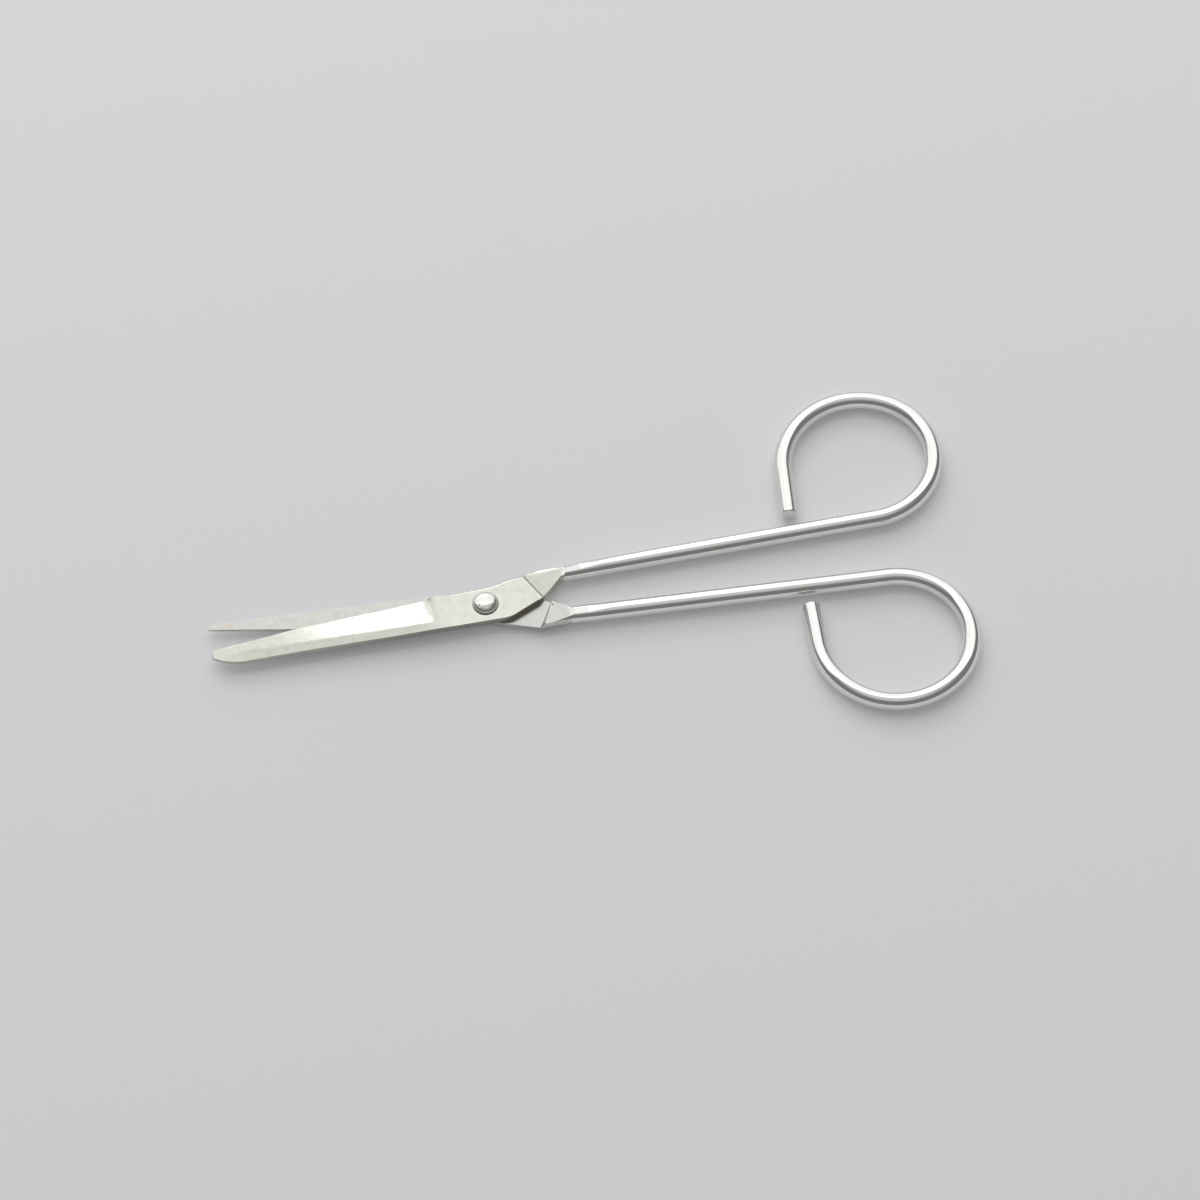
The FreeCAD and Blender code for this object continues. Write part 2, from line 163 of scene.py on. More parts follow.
def wire_half(name, half):
    """The skin of one half as a grid: stations along the wire, columns round its section.

    At a station the section runs along the inner face, up the side, back over the outer face and down the
    other side. In the flat its width comes from the outline and its heights from the faces' functions. In
    the wire it is the circle cut off at the die's height. The stations lean with the crease where it is.
    """
    offset, radius = half["shank_offset"], WIRE_RADIUS
    outline, normals = rounded_line(half["outline"])
    tip = int(np.argmax(normals[:, 0] < -0.999999))
    nose = (outline[tip] + outline[tip + 1]) / 2.0
    upper = np.vstack([nose, outline[tip::-1]]), np.vstack([[-1.0, 0.0], normals[tip::-1]])
    lower = np.vstack([nose, outline[tip + 1:]]), np.vstack([[-1.0, 0.0], normals[tip + 1:]])
    lean = math.cos(CREASE_TURN)
    crease, dip = OUTER_CREASE / lean, INNER_CREASE / lean
    runs = [
        nose[0] + 1.6 * (1.0 - np.cos(np.linspace(0.0, math.pi / 2, 22))),
        np.linspace(nose[0] + 1.8, -HEEL - 0.15, 150),
        [-HEEL - 0.06, -HEEL - 0.02, -HEEL + 0.04, -HEEL + 0.12],
        np.linspace(-HEEL + 0.3, -2.0, 26),
        np.linspace(-1.8, 1.8, 29),
        np.linspace(2.0, crease - BEND_RUN / lean - 0.1, 26),
        np.linspace(crease - BEND_RUN / lean, crease - 0.09, 14),
        crease + np.array([-0.045, 0.0, 0.045, 0.09, 0.16]),
        np.linspace(crease + 0.3, dip - 0.2, 8),
        np.linspace(dip - 0.06, dip + INNER_RUN / lean + 0.06, 18),
        np.linspace(dip + INNER_RUN / lean + 0.12, 12.5, 56),
        np.linspace(12.55, 13.4, 18),
        np.linspace(13.5, 24.0, 52),
        np.linspace(24.4, half["shank_length"], 74),
    ]
    stations = np.concatenate(runs)
    ring_centres, ring_lefts, ring_run = ring_line(half, 0.34)
    straight = len(stations)
    station = np.concatenate([stations, half["shank_length"] + ring_run])
    skew = math.tan(CREASE_TURN) * smooth(station, 1.8, 6.6) * (1.0 - smooth(station, 10.8, 12.5))

    # Both sides of the outline at every station, as the plan has them and then carried on along the ring.
    sides = {}
    for key, chain in (("high", upper), ("low", lower)):
        spot, normal = cut_by_stations(*chain, stations, skew[:straight])
        way = 1.0 if key == "high" else -1.0
        spot = np.vstack([spot, ring_centres + way * radius * ring_lefts])
        normal = np.vstack([normal, way * ring_lefts])
        inward = np.stack([way * skew, np.full(len(station), -way)], 1)
        inward[straight:] = -normal[straight:]
        round_wire = smooth(station, 11.9, 12.7)
        if key == "high":
            round_wire = 0.6 * smooth(station, 4.0, 9.5) + 0.4 * smooth(station, 9.0, 11.0)
        mix = np.where(station > 3.0, np.maximum(round_wire, smooth(station, 3.0, 6.0)), 0.0)[:, None]
        sides[key] = spot, -normal * (1.0 - mix) + inward * mix, round_wire

    cap = np.radians(75.0) + (np.radians(27.7) - np.radians(75.0)) * smooth(station, 16.0, 24.0)
    is_wire = smooth(station, 12.2, 12.8)

    def faces_at(x, y, s):
        """Heights of the outer and the inner face over a point of the plan."""
        u = x * math.cos(CREASE_TURN) + y * math.sin(CREASE_TURN)
        u = np.where(s > 15.0, 60.0, u)
        share = np.clip((-HEEL - x) / (half["reach"] - HEEL), 0.0, None)
        level = OUTER_FACE - (OUTER_FACE - INNER_FACE - TIP_THICKNESS) * share
        strip = (STRIP_HEEL - SPINE) * (1 - share) + half["strip_tip"] * share
        edge = half["heel_offset"] * (1 - share) + half["edge_tip"] * share
        land = INNER_FACE + 0.15 * (1 - share) + half["land_tip"] * share
        blur = 0.16 + 0.10 * np.clip(share, 0.0, 1.0)
        past = blur * np.logaddexp(0.0, (y - strip) / blur)
        bevel = level - (level - land) * past / (edge - strip)
        bevel = level + (bevel - level) * (1.0 - 0.65 * smooth(share, 0.20, 0.85))
        ground = smooth(-x, HEEL - 0.6, HEEL + 1.3)
        die = die_height(np.where(s > FLAT_RUN_OUT, FLAT_RUN_OUT, x), y, offset, half["ramp"])
        crown = half["crown"] * np.clip((y - offset + 0.1) / 1.15, 0.0, 1.0) ** 2
        crown = crown * smooth(u, OUTER_CREASE - 0.4, OUTER_CREASE + 1.2) * (1.0 - smooth(s, 12.0, 15.0))
        # polishing has worn the pivot plate lower towards its sides, by a share of the square of the way out
        worn = 0.009 * y * y * smooth(-u, -7.0, -4.0) * smooth(x, -HEEL, -4.0)
        top = outer_step(u, level, die) - crown - worn
        top = top * (1 - ground) + bevel * ground
        return top, inner_step(u, y, die) + crown * smooth(u, INNER_CREASE, INNER_CREASE + 0.6)

    # Side walls: an arc up from the inner face, a straight wall, an arc over to the outer face, mixed with
    # the wire's own bulge where the forging only squeezed it.
    count = sum(SIDE_STEPS)
    step = np.arange(count + 1)
    low_arc = np.clip(step / SIDE_STEPS[0], 0, 1) * math.pi / 2
    wall = np.clip((step - SIDE_STEPS[0]) / SIDE_STEPS[1], 0, 1)
    high_arc = np.clip((step - SIDE_STEPS[0] - SIDE_STEPS[1]) / SIDE_STEPS[2], 0, 1) * math.pi / 2
    walls = {}
    for key, (spot, inward, round_wire) in sides.items():
        near_tip = 1.0 - smooth(station, nose[0] + 0.3, nose[0] + 1.6)
        blade = 1.0 - smooth(station, -HEEL - 0.05, -HEEL + 0.6)
        top_round = np.full(len(station), 0.12)
        if key == "high":
            top_round = top_round + (half["side_round"] - 0.12) * smooth(station, -HEEL, 0.0)
            top_round = top_round * (1 - blade * (1 - near_tip)) + 0.035 * blade * (1 - near_tip)
        behind = smooth(station, 6.8, 8.6)
        rear_round = 0.28 if key == "high" else 0.05
        top_round = top_round * (1 - behind) + rear_round * behind
        base_round = 0.03 + half["nose_round"] * near_tip
        if key == "high":
            base_round = base_round + 0.40 * smooth(station, 9.2, 11.0)
        corner = spot + inward * top_round[:, None]
        top = faces_at(corner[:, 0], corner[:, 1], station)[0]
        corner = spot + inward * base_round[:, None]
        base = faces_at(corner[:, 0], corner[:, 1], station)[1]
        high_angle = np.minimum(np.arcsin(np.clip(top / radius, -1, 1)), cap)
        low_angle = np.maximum(np.arcsin(np.clip(base / radius, -1, 1)), -cap)
        top = top * (1 - is_wire) + radius * np.sin(high_angle) * is_wire
        base = base * (1 - is_wire) + radius * np.sin(low_angle) * is_wire
        room = np.maximum(top - base, 0.02)
        top_round = np.minimum(top_round, 0.7 * room)[:, None]
        base_round = np.minimum(base_round, 0.25 * room)[:, None]
        flat_z = (base[:, None] + base_round * (1 - np.cos(low_arc)) + top_round * np.sin(high_arc)
                  + wall * (room[:, None] - top_round - base_round))
        flat_in = base_round * (1 - np.sin(low_arc)) + top_round * (1 - np.cos(high_arc))
        angle = low_angle[:, None] + (high_angle - low_angle)[:, None] * step / count
        k = round_wire[:, None]
        inset = flat_in * (1 - k) + radius * (1 - np.cos(angle)) * k
        height = flat_z * (1 - k) + radius * np.sin(angle) * k
        plan = spot[:, None, :] + inward[:, None, :] * inset[..., None]
        walls[key] = np.concatenate([plan, height[..., None]], -1), high_angle, low_angle

    # Faces: straight across from corner to corner, at the heights of the two faces' functions.
    share = np.linspace(0.0, 1.0, FACE_COLUMNS)
    split = round(0.76 * (FACE_COLUMNS - 1))
    number = np.arange(FACE_COLUMNS)
    faces = {}
    for key, end, pick in (("outer", -1, 1), ("inner", 0, 2)):
        start, stop = walls["high"][0][:, end], walls["low"][0][:, end]
        along = (-HEEL - start[:, 0]) / (half["reach"] - HEEL)
        strip = (STRIP_HEEL - SPINE) * (1 - along) + half["strip_tip"] * along
        width = np.where(start[:, 1] - stop[:, 1] > 1e-6, start[:, 1] - stop[:, 1], 1.0)
        at = np.clip((start[:, 1] - strip) / width, 0.08, 0.92)[:, None]
        beyond = at + (1 - at) * (number - split) / (FACE_COLUMNS - 1 - split)
        creased = np.where(number <= split, at * number / split, beyond)
        keep = smooth(station, -7.6, -3.5)[:, None]
        spread = creased * (1 - keep) + share * keep
        first, last = walls["high"][pick], walls["low"][pick]
        sign = 1.0 if key == "outer" else -1.0
        angle = sign * first[:, None] + (math.pi - sign * last[:, None] - sign * first[:, None]) * share
        bow = np.cos(angle)
        round_share = (bow[:, :1] - bow) / (bow[:, :1] - bow[:, -1:])
        mix = is_wire[:, None]
        spread = spread * (1 - mix) + round_share * mix
        plan = start[:, None, :2] + (stop - start)[:, None, :2] * spread[..., None]
        top, base = faces_at(plan[..., 0], plan[..., 1], station[:, None])
        arc = np.minimum(radius * np.sin(angle), top if key == "outer" else -base)
        flat = top if key == "outer" else base
        height = flat * (1 - mix) + sign * arc * mix
        if key == "outer":
            uneven = ripple(plan[..., 0] / 1.6, plan[..., 1] / 1.2, half["seed"])
            height = height + 0.006 * uneven * (1 - mix)
        height[:, 0], height[:, -1] = start[:, 2], stop[:, 2]
        faces[key] = np.concatenate([plan, height[..., None]], -1)

    # One closed loop per station: inner face from the low side to the high side, up, back over the outer.
    skin = np.concatenate([
        faces["inner"][:, ::-1], walls["high"][0][:, 1:-1], faces["outer"], walls["low"][0][:, -2:0:-1],
    ], 1)

    # The sheared end: the rim's burr is broken off, and the face closes on its middle.
    middle = skin[-1].mean(0)
    heading = np.array([ring_lefts[-1][1], -ring_lefts[-1][0], 0.0])
    burr = 0.25
    rim = skin[-1] - middle
    caps = [
        middle + rim * (1.0 - burr * (1 - math.cos(t)) / radius) + heading * burr * math.sin(t)
        for t in np.radians([15, 30, 45, 60, 75, 90])
    ]
    face = caps[-1] - middle - heading * burr
    caps += [middle + face * t + heading * burr for t in (0.85, 0.6, 0.3, 0.0)]
    skin = np.concatenate([skin, np.array(caps)])
    rows, columns = skin.shape[:2]

    # The pivot hole: a block of the grid is opened up into a circle on both faces and joined by a wall.
    bore = half["bore_radius"]
    outer_first = FACE_COLUMNS + count - 1
    in_block = np.nonzero(np.abs(station) < 1.0)[0]
    rows_cut = in_block[0], in_block[-1]
    level = skin[in_block[len(in_block) // 2], outer_first:outer_first + FACE_COLUMNS, 1]
    wide = np.nonzero(np.abs(level) < 1.0)[0]
    first, last = wide[0], wide[-1]
    spans = {"outer": (outer_first + first, outer_first + last),
             "inner": (FACE_COLUMNS - 1 - last, FACE_COLUMNS - 1 - first)}
    rims = {}
    gone = np.zeros((rows - 1, columns), bool)
    for key, (left, right) in spans.items():
        first_column = outer_first if key == "outer" else 0
        patch = skin[:, first_column:first_column + FACE_COLUMNS]
        square = np.abs(patch[..., :2]).max(-1)
        far = np.hypot(patch[..., 0], patch[..., 1]) + 1e-9
        fade = 1.0 - np.clip((square - 1.0) / 1.1, 0.0, 1.0)
        pull = 1.0 + (bore * square / far - 1.0) * fade
        patch[..., :2] *= np.where(square < 2.1, pull, 1.0)[..., None]
        ring = np.concatenate([
            np.stack([np.arange(rows_cut[0], rows_cut[1]), np.full(rows_cut[1] - rows_cut[0], left)], 1),
            np.stack([np.full(right - left, rows_cut[1]), np.arange(left, right)], 1),
            np.stack([np.arange(rows_cut[1], rows_cut[0], -1), np.full(rows_cut[1] - rows_cut[0], right)], 1),
            np.stack([np.full(right - left, rows_cut[0]), np.arange(right, left, -1)], 1),
        ])
        edge = skin[ring[:, 0], ring[:, 1]]
        edge[:, :2] *= bore / np.hypot(edge[:, 0], edge[:, 1])[:, None]
        skin[ring[:, 0], ring[:, 1]] = edge
        rims[key] = ring[:, 0] * columns + ring[:, 1]
        gone[rows_cut[0]:rows_cut[1], left:right] = True

    along, around = np.meshgrid(np.arange(rows - 1), np.arange(columns), indexing="ij")
    kept = ~gone
    along, around = along[kept], around[kept]
    beside = (around + 1) % columns
    quads = np.stack([
        along * columns + around, (along + 1) * columns + around,
        (along + 1) * columns + beside, along * columns + beside,
    ], 1)
    # the inner rim runs the other way round, so it is turned to meet the outer one point by point
    outer_rim = rims["outer"]
    inner_places = skin.reshape(-1, 3)[rims["inner"]]
    outer_places = skin.reshape(-1, 3)[outer_rim]
    apart = outer_places[:, None, :2] - inner_places[None, :, :2]
    nearest = np.hypot(apart[..., 0], apart[..., 1]).argmin(1)
    inner_rim = rims["inner"][nearest]
    bore_wall = np.stack([outer_rim, np.roll(outer_rim, -1), np.roll(inner_rim, -1), inner_rim], 1)

    # The grain runs along the wire: u is the way along it and v the way round it, both in millimetres.
    length = np.concatenate([station, station[-1] + 0.25 + np.zeros(rows - len(station))])
    girth = np.linspace(0.0, 2 * math.pi * radius, columns + 1)
    grain = np.stack([
        np.stack([length[along], girth[around]], 1), np.stack([length[along + 1], girth[around]], 1),
        np.stack([length[along + 1], girth[around + 1]], 1), np.stack([length[along], girth[around + 1]], 1),
    ], 1)
    grain = np.concatenate([grain, np.zeros((len(bore_wall), 4, 2))])

    flat_x, flat_y, flat_z = skin.reshape(-1, 3).T
    turn = math.radians(1.815) * half["way"]
    placed = np.stack([
        flat_x * math.cos(turn) - half["way"] * flat_y * math.sin(turn),
        flat_x * math.sin(turn) + half["way"] * flat_y * math.cos(turn),
        MID_HEIGHT + half["way"] * flat_z,
    ], 1)
    # the CAD's mesh cuts its arcs into chords, so the skin is drawn in by as little to stay inside it
    placed[:, :2] *= 0.99984
    mesh = bpy.data.meshes.new(name)
    mesh.from_pydata(placed / 1000.0, [], np.concatenate([quads, bore_wall]))
    mesh.uv_layers.new(name="grain").uv.foreach_set("vector", grain.astype(np.float32).ravel())

    # How each place is finished: satin on the flats, 0 on the polished wire and rougher still on the bend of
    # the inner face; lighter on the bevel, darker on the strip and the rear flat; a painted highlight on the
    # band just in front of the outer face's crease and on the bend of the inner face; painted shade in the
    # crease, round the rivet and on the crotch wall; stains, painted shade and a painted reflection from the
    # half's marks.
    x, y = skin[..., 0], skin[..., 1]
    u = x * math.cos(CREASE_TURN) + y * math.sin(CREASE_TURN)
    column = np.broadcast_to(np.arange(columns), (rows, columns))
    inner = column < FACE_COLUMNS
    outer = (column >= outer_first) & (column < outer_first + FACE_COLUMNS)
    low_wall = column >= outer_first + FACE_COLUMNS
    share = np.clip((-HEEL - x) / (half["reach"] - HEEL), 0.0, 1.0)
    strip = (STRIP_HEEL - SPINE) * (1 - share) + half["strip_tip"] * share
    far = np.hypot(x, y)
    in_flat = np.concatenate([station, np.full(rows - len(station), 90.0)])[:, None] < 15.0
    behind = smooth(u, OUTER_CREASE - 0.05, OUTER_CREASE + 0.15) * outer
    bevel = outer * smooth(-x, HEEL, HEEL + 0.25) * smooth(y, strip - 0.1, strip + 0.15)
    tone_and_highlight = 1.0 - 0.13 * inner - 0.16 * outer * behind + bevel * (0.20 - 0.27 * smooth(share, 0.25, 0.7))
    in_strip = outer * smooth(-x, HEEL - 2.0, HEEL + 3.0) * (1 - bevel)
    tone_and_highlight = tone_and_highlight - 0.21 * in_strip * (1.0 - 0.6 * smooth(share, 0.8, 1.0))
    tone_and_highlight = tone_and_highlight + 0.10 * outer * np.exp(-((far - 2.22) / 0.12) ** 2)
    # painted highlight: a lighter band on the outer face just in front of the crease
    tone_and_highlight = tone_and_highlight + 0.22 * outer * np.exp(-((u - OUTER_CREASE + 0.42) / 0.26) ** 2)
    # painted shade: darker in the crease's valley, in a ring round the rivet head and along the low side wall
    # from the blade up to the crotch
    painted_shade = 0.45 * outer * np.exp(-((u - OUTER_CREASE) / 0.12) ** 2)
    painted_shade = painted_shade + 0.45 * outer * np.exp(-((far - 1.95) / 0.09) ** 2)
    painted_shade = painted_shade + 0.40 * low_wall * smooth(x, -30.0, -6.0) * (1.0 - smooth(x, 8.6, 9.4))
    tarnish_and_reflection = np.zeros((rows, columns))
    # marks: painted shade where the amount is positive, tarnished stains or a painted reflection where it is
    # negative
    for side, spot_x, spot_y, long_way, wide_way, much in half["marks"]:
        on_side = inner if side == "inner" else outer if side == "outer" else low_wall
        blot = on_side * np.exp(-((x - spot_x) / long_way) ** 2 - ((y - spot_y) / wide_way) ** 2)
        painted_shade = painted_shade + blot * max(much, 0.0)
        tarnish_and_reflection = tarnish_and_reflection + blot * max(-much, 0.0)
    satin = 1.0 - smooth(x, 11.8, 12.8) * in_flat - (1.0 - in_flat)
    slope = inner * in_flat * smooth(u, INNER_CREASE - 0.12, INNER_CREASE)
    slope = slope * (1.0 - smooth(u, INNER_CREASE + 0.45, INNER_CREASE + 0.62))
    satin = satin + 2.4 * slope
    # painted highlight: the bend of the inner face is made lighter
    tone_and_highlight = tone_and_highlight + 0.45 * slope
    tone_and_highlight = tone_and_highlight * in_flat + (1.0 - in_flat)
    values = {"satin": satin, "tone_and_highlight": tone_and_highlight, "painted_shade": painted_shade * in_flat, "tarnish_and_reflection": tarnish_and_reflection * in_flat}
    for label, value in values.items():
        layer = mesh.attributes.new(label, "FLOAT", "POINT")
        layer.data.foreach_set("value", value.astype(np.float32).ravel())
    made = bmesh.new()
    made.from_mesh(mesh)
    bmesh.ops.remove_doubles(made, verts=made.verts, dist=2e-7)
    bmesh.ops.recalc_face_normals(made, faces=made.faces)
    made.to_mesh(mesh)
    made.free()
    mesh.shade_smooth()
    mesh.set_sharp_from_angle(angle=math.radians(32))
    piece = bpy.data.objects.new(name, mesh)
    bpy.context.scene.collection.objects.link(piece)
    return piece


def steel(name, wire, flat, wire_rough, flat_rough):
    """Bare steel. The piece's own attributes say where it is satin, lighter or darker in its finish or by a
    painted highlight, where painted shade darkens it, and where it is tarnished or carries a painted
    golden-brown reflection; a long streaky noise along the grain and a soft mottling vary it."""
    material = bpy.data.materials.new(name)
    material.use_nodes = True
    nodes, links = material.node_tree.nodes, material.node_tree.links
    shader = nodes["Principled BSDF"]
    shader.inputs["Metallic"].default_value = 1.0

    def attribute(label):
        node = nodes.new("ShaderNodeAttribute")
        node.attribute_name = label
        return node.outputs["Fac"]

    def math_node(operation, first, second):
        node = nodes.new("ShaderNodeMath")
        node.operation = operation
        for socket, value in zip(node.inputs, (first, second)):
            if isinstance(value, (int, float)):
                socket.default_value = value
            else:
                links.new(value, socket)
        return node.outputs[0]

    def noise(vector, scale, detail, low, high):
        node = nodes.new("ShaderNodeTexNoise")
        node.inputs["Scale"].default_value = scale
        node.inputs["Detail"].default_value = detail
        links.new(vector, node.inputs["Vector"])
        spread = nodes.new("ShaderNodeMapRange")
        spread.inputs["From Min"].default_value = 0.3
        spread.inputs["From Max"].default_value = 0.7
        spread.inputs["To Min"].default_value = low
        spread.inputs["To Max"].default_value = high
        links.new(node.outputs["Fac"], spread.inputs["Value"])
        return spread.outputs[0]

    def mix(share, first, second):
        node = nodes.new("ShaderNodeMix")
        node.data_type = "RGBA"
        links.new(share, node.inputs["Factor"])
        for socket, value in zip((node.inputs["A"], node.inputs["B"]), (first, second)):
            if isinstance(value, tuple):
                socket.default_value = value + (1.0,)
            else:
                links.new(value, socket)
        return node.outputs["Result"]

    place = nodes.new("ShaderNodeTexCoord")
    grain = nodes.new("ShaderNodeMapping")
    grain.inputs["Scale"].default_value = (0.35, 9.0, 1.0)
    links.new(place.outputs["UV"], grain.inputs["Vector"])
    streaks = noise(grain.outputs[0], 1.0, 3.0, -1.0, 1.0)
    blotches = noise(place.outputs["Object"], 900.0, 3.0, -1.0, 1.0)
    specks = noise(place.outputs["Object"], 4200.0, 2.0, -1.0, 1.0)
    satin = attribute("satin")

    colour = mix(satin, wire, flat)
    drawn, mottled = math_node("MULTIPLY", streaks, 0.025), math_node("MULTIPLY", blotches, 0.055)
    unevenness = math_node("ADD", math_node("ADD", drawn, mottled), math_node("MULTIPLY", specks, 0.035))
    unevenness = math_node("ADD", math_node("MULTIPLY", unevenness, satin), 1.0)
    # lightness of the finish, raised by painted highlights on the bands at the creases
    level = math_node("MULTIPLY", attribute("tone_and_highlight"), unevenness)
    bright = nodes.new("ShaderNodeVectorMath")
    bright.operation = "SCALE"
    links.new(colour, bright.inputs[0])
    links.new(level, bright.inputs["Scale"])
    # tarnished stains, and on the blunt half's low wall a painted golden-brown reflection
    colour = mix(attribute("tarnish_and_reflection"), bright.outputs[0], (0.62, 0.46, 0.24))
    # painted shade: creases, the ring round the rivet, the low side wall and the marked spots go towards
    # near-black
    colour = mix(attribute("painted_shade"), colour, (0.045, 0.045, 0.04))
    links.new(colour, shader.inputs["Base Color"])

    rough = math_node("ADD", math_node("MULTIPLY", satin, flat_rough - wire_rough), wire_rough)
    rough = math_node("ADD", rough, math_node("MULTIPLY", math_node("MULTIPLY", streaks, satin), 0.03))
    rough = math_node("ADD", rough, math_node("MULTIPLY", math_node("MULTIPLY", blotches, satin), 0.03))
    rough = math_node("ADD", rough, math_node("MULTIPLY", attribute("painted_shade"), 0.3))
    links.new(rough, shader.inputs["Roughness"])
    return material


# The half's own frame has the blade along -x and the hip on the +y side, the outer face up. Outline corners
# are (x, y, radius); bends are (radius, degrees) of the ring's arcs; marks are (face, x, y, length, width,
# amount), where a negative amount is a tarnished stain, or on the blunt half's low wall a painted golden-brown
# reflection, and a positive one painted shade. way turns the lower half over.
BLUNT = {
    "outline": [
        (70.0, 4.90, 0), (26.0, 4.90, 30.0), (14.8, 4.69, 6.0), (12.7, 4.45, 4.0), (8.80, 4.64, 2.0),
        (1.42, 2.92, 3.05), (-5.08, 2.59, 5.08), (-7.92, 2.88, 1.22),
        (-28.43, 1.72, 40.62), (-41.38, 0.38, 0.91), (-41.38, -0.90, 0.61), (-38.59, -2.42, 9.14),
        (-28.0, -2.50, 30.0), (-13.0, -2.93, 30.0),
        (3.30, -3.07, 5.00), (8.17, -0.91, 0.81), (11.50, 2.08, 0.22), (11.92, 2.44, 0.15),
        (12.36, 2.22, 0.15), (13.4, 2.20, 1.0), (70.0, 2.20, 0),
    ],
    "reach": 41.38, "shank_offset": 3.55, "shank_length": 60.82,
    "bends": [(11.35, 63.1), (10.62, 90.1), (12.00, 110.4)], "end_length": 7.97,
    "strip_tip": -0.47, "heel_offset": 2.88, "edge_tip": 0.38, "land_tip": 0.35,
    "side_round": 0.38, "nose_round": 0.12, "bore_radius": 1.23, "seed": 5, "way": 1.0,
    "ramp": 0.13, "crown": 0.20,
    # on the outer face a tarnished stain near the tip; on the low wall a painted golden-brown reflection along
    # the pivot plate's side
    "marks": [("outer", -35.2, -2.35, 0.45, 0.16, -0.8), ("low wall", 5.5, -2.2, 2.6, 1.6, -0.6)],
}
blunt_skin = wire_half("blunt_half_skin", BLUNT)
blunt_steel = steel("blunt_half_steel", (0.82, 0.81, 0.79), (0.60, 0.605, 0.545), 0.13, 0.27)
blunt_skin.data.materials.append(blunt_steel)
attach(blunt_skin, "blunt_body")
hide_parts("blunt_blade_half")

# Sharp half. The same drawn wire forged by the same dies and turned over, so that its inner face looks up.
# Its blade is ground to a narrow point, and its ring is bent the other way. The rivet's shank is driven
# tight into its bore.
SHARP = {
    "outline": [
        (70.0, 4.55, 0), (15.5, 4.55, 6.0), (12.4, 4.46, 4.0), (10.9, 4.55, 3.0), (8.10, 4.80, 2.0),
        (1.42, 2.92, 3.05), (-1.22, 1.98, 1.52), (-7.92, 2.49, 1.22),
        (-41.38, -1.88, 0.20), (-41.38, -2.34, 0.15), (-40.57, -2.73, 1.02), (-20.0, -2.98, 60.0),
        (3.30, -3.07, 3.00), (8.17, -0.62, 0.81), (9.55, 0.40, 0.50), (10.15, 0.92, 0.40), (12.2, 2.04, 0.50),
        (12.8, 1.86, 0.50), (70.0, 1.85, 0),
    ],
    "reach": 41.38, "shank_offset": 3.20, "shank_length": 60.38,
    "bends": [(10.66, 141.8), (12.23, 35.1), (11.33, 92.9)], "end_length": 7.05,
    "strip_tip": -2.27, "heel_offset": 2.49, "edge_tip": -1.88, "land_tip": 0.40,
    "side_round": 0.14, "nose_round": 0.0, "bore_radius": 1.20, "seed": 8, "way": -1.0,
    "ramp": 0.13, "crown": 0.0,
    # a tarnished stain near the tip, then two spots of painted shade at the ends of the inner face's bend
    "marks": [("inner", -38.3, -2.15, 0.6, 0.16, -0.9), ("inner", 8.15, 4.45, 0.25, 0.16, 0.8),
              ("inner", 9.95, 1.35, 0.12, 0.22, 0.7)],
}
sharp_skin = wire_half("sharp_half_skin", SHARP)
sharp_steel = steel("sharp_half_steel", (0.82, 0.81, 0.79), (0.60, 0.61, 0.575), 0.13, 0.27)
sharp_skin.data.materials.append(sharp_steel)
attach(sharp_skin, "sharp_body")
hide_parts("sharp_blade_half")

# Rivet. A turned and cold-headed steel rivet: a domed head on the blunt half, a plain shank through both
# plates and a tail peened over under the sharp half. The head is hammered a little and has a pock in it.
# The profile is turned about the pivot: foot, tail, shank, seat and head wall, then a dome whose height falls
# with a power of the radius.
HEAD_SEAT = 2.71
HEAD_RADIUS = 1.88
AROUND = 96
profile = [
    (0.0, 0.0), (0.9, 0.0), (1.22, 0.0), (1.30, 0.03), (1.52, 0.16), (1.62, 0.30), (1.65, 0.38),
    (1.62, 0.44), (1.55, 0.45), (1.20, 0.45), (1.20, 1.2), (1.20, 2.0), (1.20, HEAD_SEAT),
    (1.78, HEAD_SEAT), (1.85, HEAD_SEAT + 0.02), (HEAD_RADIUS, HEAD_SEAT + 0.07),
    (HEAD_RADIUS, HEAD_SEAT + 0.15),
]
dome = HEAD_RADIUS * np.sin(np.linspace(0.0, 1.0, 34) * math.pi / 2)[::-1]
rise = 0.20 + 0.745 * (1.0 - (dome / HEAD_RADIUS) ** 2.5) ** (1 / 1.7)
profile = np.array(profile + list(zip(dome, HEAD_SEAT + rise)))
around = np.linspace(0.0, 2 * math.pi, AROUND, endpoint=False)
radial, tall = profile[:, 0][:, None], np.repeat(profile[:, 1][:, None], AROUND, 1)
rivet_x, rivet_y = radial * np.cos(around), radial * np.sin(around)
on_head = smooth(tall, HEAD_SEAT + 0.12, HEAD_SEAT + 0.4)
from_pock = (rivet_x + 1.0) ** 2 + (rivet_y + 0.75) ** 2
dent = 0.012 * ripple(rivet_x / 0.9, rivet_y / 0.9, 3) * on_head
dent = dent - 0.05 * np.exp(-from_pock / 0.03) * on_head
tall = np.clip(tall + dent - 0.014 * on_head, 0.0, 3.658)
grid = np.stack([rivet_x, rivet_y, tall], -1).reshape(-1, 3) / 1000.0
row, column = np.meshgrid(np.arange(len(profile) - 1), np.arange(AROUND), indexing="ij")
row, column = row.ravel() * AROUND, column.ravel()
beside = (column + 1) % AROUND
quads = np.stack([row + column, row + beside, row + AROUND + beside, row + AROUND + column], 1)
rivet_mesh = bpy.data.meshes.new("rivet_skin")
rivet_mesh.from_pydata(grid, [], quads)
